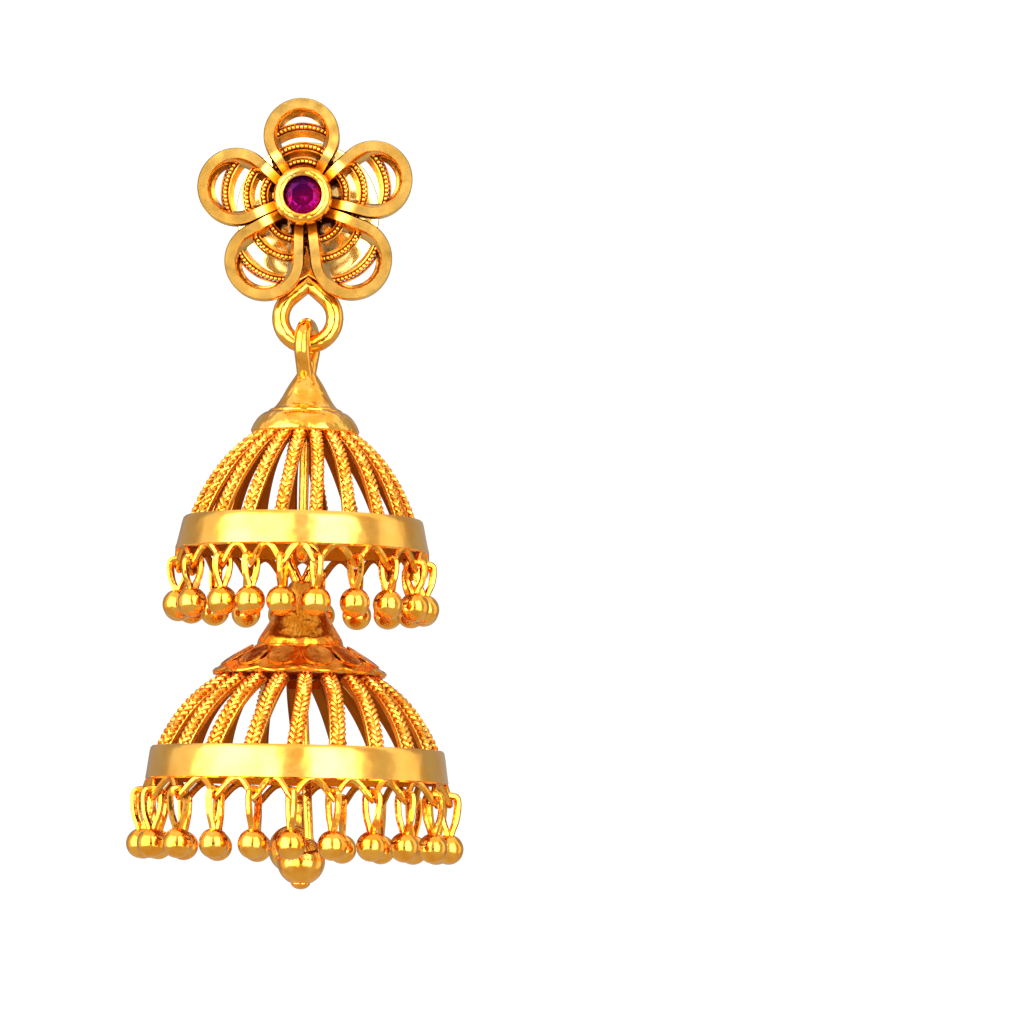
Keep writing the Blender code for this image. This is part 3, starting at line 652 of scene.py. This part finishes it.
def wavy_wire(name, fringe, low, crest_radius, body):
    """A closed wave of wire with round crests and narrow feet."""
    wave = bmesh.new()
    path = []
    count, foot_radius = fringe[0], fringe[-1]
    for number in range(count):
        for step in range(WAVE_STEPS):
            along = step / WAVE_STEPS
            up = math.sin(math.pi * along) ** CREST_SHAPE
            radius = foot_radius + up * (crest_radius - foot_radius)
            angle = drop_angle(number + along, fringe)
            height = low - FRINGE_DROP + up * (FRINGE_DROP + CREST_RISE)
            path.append(Vector((radius * math.cos(angle), radius * math.sin(angle), height)))
    sweep(wave, path, circle(FRINGE_WIRE / 2, 8), (0, 0, 1), closed=True)
    bmesh.ops.transform(wave, matrix=on_axis, verts=wave.verts)
    piece(name, wave, wire_gold, "bell_gold", body, body)


# Hand-bent wave: how far each drop stands from even spacing, in degrees.
UPPER_SETTING = (-2.2, -1.9, -1.6, 1.5) + 12 * (0.0,) + (3.5, 6.6, 3.6, 0.3)
# A fringe: how many drops, the first one's place in steps of the spacing, their settings, and the
# radius on which they hang.
UPPER_FRINGE = (20, 0.615, UPPER_SETTING, 7.8 * MM)
UPPER_LOW = -22.3 * MM
# Its inside setting paints shade in brown on the wave's inner side.
wire_gold = gold_finish("wire_gold", (1.0, 0.50, 0.09), (0.85, 0.35, 0.03), 0.14,
                        0.4 * MM, 0.004 * MM, 0.8 * MM, 0.04 * MM, inside=True)
wavy_wire("upper_wave", UPPER_FRINGE, UPPER_LOW, 7.72 * MM, "upper_bell")

# Inside the upper bell: a straight stem from the cap, with a small closed ring at its end that
# carries the lower bell.
LOWER_HINGE_Z = -22.6 * MM
LINK_RADIUS = 1.0 * MM
LINK_WIRE = 0.7 * MM
STEM_WIRE = 0.6 * MM

stem = bmesh.new()
sweep(stem, [axis + Vector((0, 0, height * MM)) for height in (-13.4, -17.0, -20.6)],
      circle(STEM_WIRE / 2, 12), (1, 0, 0))
path = []
for side in range(28):
    angle = 2 * math.pi * side / 28
    path.append(axis + Vector((0, LINK_RADIUS * math.cos(angle),
                               LOWER_HINGE_Z + LINK_RADIUS * (1 + math.sin(angle)))))
sweep(stem, path, circle(LINK_WIRE / 2, 12), (1, 0, 0), closed=True)
piece("inner_stem_and_ring", stem, polished_gold, "bell_gold", "upper_bell", "upper_bell")

# The drops of both fringes: a hollow gold ball, soldered to a narrow loop of wire that hooks over
# a foot of the wave. The loops stand edge on and each is turned a little, no two quite alike.
BALL_RADIUS = 0.93 * MM
BALL_SINK = 0.05 * MM
LOOP_WIRE = 0.42 * MM
LOOP_GAP = 0.11 * MM
LOOP_TURN = (8, 26)
# Half of a loop, from the ball up to its top: share of its width, and share of its height.
LOOP_HALF = ((0.12, 0.0), (0.22, 0.14), (0.40, 0.34), (0.50, 0.58), (0.52, 0.82), (0.40, 0.96),
             (0.0, 1.0))
LOOP_WIDEST = max(share for share, up in LOOP_HALF)


def drop_shape(ball_z):
    """One drop about the foot of the wave that it hangs on, its ball centre at height ball_z."""
    drop = bmesh.new()
    bmesh.ops.create_uvsphere(drop, u_segments=26, v_segments=16, radius=BALL_RADIUS,
                              matrix=Matrix.Translation((0, 0, ball_z)))
    half = FRINGE_WIRE / 2 + LOOP_GAP + LOOP_WIRE / 2
    foot = ball_z + BALL_RADIUS - BALL_SINK
    side = [Vector((share * half / LOOP_WIDEST, 0, foot + up * (half - foot)))
            for share, up in LOOP_HALF]
    points = side + [Vector((-spot.x, 0, spot.z)) for spot in reversed(side[:-1])]
    sweep(drop, rounded(points, 3), circle(LOOP_WIRE / 2, 7), (0, 1, 0))
    bmesh.ops.recalc_face_normals(drop, faces=drop.faces)
    mesh = bpy.data.meshes.new("drop_shape")
    drop.to_mesh(mesh)
    drop.free()
    return mesh


def hang_drops(prefix, fringe, low, ball_z, body):
    """A ring of drops, one for each packed drop."""
    chance = random.Random(prefix)
    foot_z = low - FRINGE_DROP
    shape = drop_shape(ball_z - foot_z)
    count, radius = fringe[0], fringe[-1]
    for number in range(count):
        angle = drop_angle(number, fringe)
        spot = axis + Vector((radius * math.cos(angle), radius * math.sin(angle), foot_z))
        twist = math.copysign(math.radians(chance.uniform(*LOOP_TURN)), math.cos(angle))
        place = Matrix.Translation(spot) @ Matrix.Rotation(angle + twist, 4, "Z")
        drop = bmesh.new()
        drop.from_mesh(shape)
        bmesh.ops.transform(drop, matrix=place, verts=drop.verts)
        node = f"{prefix}_{number + 1:02d}"
        piece(f"{node}_ball", drop, drop_gold, "drop_gold", body, node)


drop_gold = gold_finish("drop_gold", (1.0, 0.51, 0.09), (0.92, 0.39, 0.04), 0.14,
                        0.5 * MM, 0.004 * MM, 0.8 * MM, 0.03 * MM)
hang_drops("upper_drop", UPPER_FRINGE, UPPER_LOW, -25.8 * MM, "upper_bell")

# The lower bell's top: a raised dome with an eye in it, over a shallow plate that is chased with
# twelve leaves. A wire runs round the plate's scalloped edge, just above the ribs' heads.
LEAVES = 12
LEAF_PHASE = math.radians(-12)
LEAF_SPOT = (4.05 * MM, 0, -28.86 * MM)
LEAF_SWELL = (1.16 * MM, 0.93 * MM, 0.05 * MM)
VEIN_LONG = 1.18 * MM
VEIN_WIDE = 0.96 * MM
VEIN_FULLER = 0.12
VEIN_WIRE = 0.045 * MM
PLATE_SLOPE = math.atan2(1.5, 2.3)
EDGE_STEPS = 16 * LEAVES
EDGE_WIRE = 0.11 * MM
EDGE_RADIUS = 5.18 * MM
EDGE_Z = -29.72 * MM
SCALLOP_OUT = 0.26 * MM
SCALLOP_DOWN = 0.22 * MM
LOWER_EYE_NECK = 2.1 * MM

dome_gold = gold_finish("dome_gold", (1.0, 0.46, 0.06), (0.82, 0.29, 0.015), 0.2,
                        0.3 * MM, 0.01 * MM, 0.9 * MM, 0.05 * MM)
dome = bmesh.new()
# Outlines of the dome and then of the plate: (radius, height) in mm.
outline = rounded(((0.30, -24.1), (0.62, -24.16), (0.97, -24.67), (1.35, -25.41), (1.75, -26.31),
                   (2.22, -27.13), (2.6, -27.75), (2.72, -28.15)), 3)
profile = [(0, -24.1)] + [tuple(spot) for spot in outline]
profile += [(2.84, -28.2), (2.86, -28.3), (3.3, -28.46), (4.0, -28.86), (4.7, -29.3), (5.15, -29.62),
            (5.35, -29.86), (5.3, -30.0), (5.0, -30.05), (4.0, -29.4), (2.6, -28.9), (2.2, -28.2),
            (1.1, -27.38), (0, -27.38)]
turned(dome, [(radius * MM, height * MM) for radius, height in profile], 96)
bmesh.ops.transform(dome, matrix=on_axis, verts=dome.verts)
piece("lower_dome", dome, dome_gold, "bell_gold", "lower_bell", "lower_bell")

leaves = bmesh.new()
for number in range(LEAVES):
    angle = LEAF_PHASE + 2 * math.pi * number / LEAVES - math.pi / 2
    tilt = Matrix.Rotation(angle, 4, "Z") @ Matrix.Translation(LEAF_SPOT)
    tilt = tilt @ Matrix.Rotation(PLATE_SLOPE, 4, "Y")
    swell = Matrix.Diagonal((*LEAF_SWELL, 1.0))
    bmesh.ops.create_uvsphere(leaves, u_segments=24, v_segments=8, radius=1.0, matrix=tilt @ swell)
    vein = []
    for step in range(28):
        turn = 2 * math.pi * step / 28
        reach = 1.0 + VEIN_FULLER * math.cos(turn)
        vein.append(tilt @ Vector((VEIN_LONG * math.cos(turn), VEIN_WIDE * math.sin(turn) * reach, 0)))
    sweep(leaves, vein, circle(VEIN_WIRE, 6), tilt.to_3x3().col[2], closed=True)
plate_edge = []
for step in range(EDGE_STEPS):
    angle = LEAF_PHASE + 2 * math.pi * step / EDGE_STEPS - math.pi / 2
    scallop = abs(math.cos(LEAVES * math.pi * step / EDGE_STEPS))
    radius = EDGE_RADIUS + SCALLOP_OUT * scallop
    plate_edge.append(Vector((radius * math.cos(angle), radius * math.sin(angle),
                              EDGE_Z - SCALLOP_DOWN * scallop)))
sweep(leaves, plate_edge, circle(EDGE_WIRE, 8), (0, 0, 1), closed=True)
bmesh.ops.transform(leaves, matrix=on_axis, verts=leaves.verts)
piece("leaf_plate", leaves, dome_gold, "bell_gold", "lower_bell", "lower_bell")

lower_eye = bmesh.new()
eye_radius = LINK_WIRE + LINK_GAP
path = [axis + Vector((x, 0, LOWER_HINGE_Z + z))
        for x, z in drop_loop(eye_radius, LOWER_EYE_NECK, 24)]
sweep(lower_eye, path, circle(LINK_WIRE / 2, 12), (0, 1, 0), closed=True)
piece("lower_eye", lower_eye, polished_gold, "bell_gold", "lower_bell", "lower_bell")

# The lower bell's cage, band, wavy wire and drops: the same gold strip, braided wire and balls as
# the upper bell's, one size larger, with the ribs soldered under the plate's edge. Twenty-two
# drops hang from its wave.
LOWER_RIB = 0.94 * MM
LOWER_SETTING = (-0.1, -1.3, -2.6, -3.9, -2.8) + 13 * (0.0,) + (0.4, 2.4, 3.5, 2.5)
LOWER_FRINGE = (22, 0.04, LOWER_SETTING, 9.65 * MM)
LOWER_LOW = -36.7 * MM

braided_ribs("lower_ribs", (4.65 * MM, -30.25 * MM), (8.8 * MM, -35.5 * MM), LOWER_RIB, 0.19,
             "lower_bell")
band_hoop("lower_band", -34.6 * MM, LOWER_LOW, 9.17 * MM, 9.47 * MM, 11.0, "lower_bell")
wavy_wire("lower_wave", LOWER_FRINGE, LOWER_LOW, 9.2 * MM, "lower_bell")
hang_drops("lower_drop", LOWER_FRINGE, LOWER_LOW, -40.7 * MM, "lower_bell")

# The finial: a short stem under the lower dome ends in two gold balls, one in front of the other,
# with a small flattened granule under the front one.
FINIAL_BALL = 1.5 * MM
FINIAL_WIRE = 0.6 * MM
GRANULE = 0.6 * MM
GRANULE_SQUASH = 0.68
# Places in mm from the bells' line: along the stem, then the front ball's and the back one's
# centres, then the granule's.
FINIAL_STEM = ((0, 0, -27.5), (0.45, -0.4, -34.3), (0.9, -0.8, -41.1))
FINIAL_BALLS = ((0.4, -0.9, -41.6), (-0.25, 1.2, -40.85))
GRANULE_SPOT = (0.4, -0.9, -42.95)

finial = bmesh.new()
sweep(finial, [axis + Vector(spot) * MM for spot in FINIAL_STEM], circle(FINIAL_WIRE / 2, 12), (1, 0, 0))
for spot in FINIAL_BALLS:
    bmesh.ops.create_uvsphere(finial, u_segments=40, v_segments=24, radius=FINIAL_BALL,
                              matrix=Matrix.Translation(axis + Vector(spot) * MM))
granule = Matrix.Translation(axis + Vector(GRANULE_SPOT) * MM)
granule = granule @ Matrix.Diagonal((1, 1, GRANULE_SQUASH, 1))
bmesh.ops.create_uvsphere(finial, u_segments=24, v_segments=14, radius=GRANULE, matrix=granule)
piece("finial_balls", finial, drop_gold, "drop_gold", "lower_bell", "finial")

# The setting: a white studio. Two tall soft windows of light stand left and right of the camera,
# the left one wider, and the camera itself shows in the balls as a small dark patch.
studio = bpy.data.worlds.new("studio")
studio.use_nodes = True
bpy.context.scene.world = studio
sky = studio.node_tree
sky.nodes.clear()


def sky_math(operation, *values):
    """A sum of the studio's light, from sockets or numbers."""
    return made_node(sky, "ShaderNodeMath", dict(enumerate(values)), operation=operation).outputs["Value"]


def soft_step(value, start, end):
    """0 before start and 1 after end, with a soft change between."""
    return made_node(sky, "ShaderNodeMapRange", {"Value": value, "From Min": start, "From Max": end},
                     interpolation_type="SMOOTHSTEP").outputs["Result"]


looking = made_node(sky, "ShaderNodeTexCoord", {}).outputs["Generated"]
east, north, up = made_node(sky, "ShaderNodeSeparateXYZ", {"Vector": looking}).outputs
side = sky_math("MULTIPLY", sky_math("ARCTAN2", east, sky_math("MULTIPLY", north, -1.0)), 180 / math.pi)
height = sky_math("MULTIPLY", sky_math("ARCSINE", up), 180 / math.pi)
# Light round the camera from left to right, in degrees: (start, end, change in brightness).
STUDIO_STEPS = ((-170, -150, 0.15), (-118, -108, 0.5), (-88, -72, 3.6), (-15, -8, -3.85),
                (8, 15, 4.2), (46, 60, -4.3), (78, 86, 0.6), (108, 116, -0.75))
BEHIND_LIGHT = 0.35
CEILING_LIGHT = 1.2
FLOOR_LIGHT = 0.7
WHITE_GROUND = 1.05
CAMERA_HEIGHT = -4.0
light = BEHIND_LIGHT
for start, end, change in STUDIO_STEPS:
    light = sky_math("ADD", sky_math("MULTIPLY", soft_step(side, start, end), change), light)
overhead = soft_step(height, 38, 54)
below = sky_math("SUBTRACT", 1.0, soft_step(height, -26, -14))
middle = sky_math("SUBTRACT", sky_math("SUBTRACT", 1.0, overhead), below)
level = sky_math("ADD", sky_math("MULTIPLY", light, middle),
                 sky_math("ADD", sky_math("MULTIPLY", overhead, CEILING_LIGHT),
                          sky_math("MULTIPLY", below, FLOOR_LIGHT)))
off_side = soft_step(sky_math("ABSOLUTE", side), 5, 9)
off_height = soft_step(sky_math("ABSOLUTE", sky_math("SUBTRACT", height, CAMERA_HEIGHT)), 5, 9)
lens = sky_math("MULTIPLY", sky_math("SUBTRACT", 1.0, off_side), sky_math("SUBTRACT", 1.0, off_height))
level = sky_math("MULTIPLY", level, sky_math("SUBTRACT", 1.0, sky_math("MULTIPLY", lens, 0.9)))
seen = made_node(sky, "ShaderNodeLightPath", {}).outputs["Is Camera Ray"]
strength = sky_math("ADD", sky_math("MULTIPLY", level, sky_math("SUBTRACT", 1.0, seen)),
                    sky_math("MULTIPLY", seen, WHITE_GROUND))
glow = made_node(sky, "ShaderNodeBackground", {"Color": (1.0, 1.0, 1.0, 1.0), "Strength": strength})
made_node(sky, "ShaderNodeOutputWorld", {"Surface": glow.outputs["Background"]})

# The camera: a long lens a little below the earring, level across and tipped by about a degree,
# with the earring in the left half of the picture.
CAMERA_DISTANCE = 320 * MM
CAMERA_Z = -44.5 * MM
PICTURE_WIDTH = 64 * MM
AIM = Vector((13.5, -1.75, -19.5)) * MM
ROLL = math.radians(1.15)

camera_data = bpy.data.cameras.new("camera")
camera_data.sensor_width = 36.0
camera_data.lens = camera_data.sensor_width * CAMERA_DISTANCE / PICTURE_WIDTH
camera_data.clip_start = 0.01
camera_data.clip_end = 10.0
camera = bpy.data.objects.new("camera", camera_data)
bpy.context.scene.collection.objects.link(camera)
camera_spot = Vector((AIM.x, AIM.y - CAMERA_DISTANCE, CAMERA_Z))
facing_aim = (AIM - camera_spot).to_track_quat("-Z", "Y").to_matrix().to_4x4()
camera.matrix_world = Matrix.Translation(camera_spot) @ facing_aim @ Matrix.Rotation(ROLL, 4, "Z")
bpy.context.scene.camera = camera
bpy.context.scene.view_settings.view_transform = "Standard"
bpy.context.scene.view_settings.gamma = 0.85
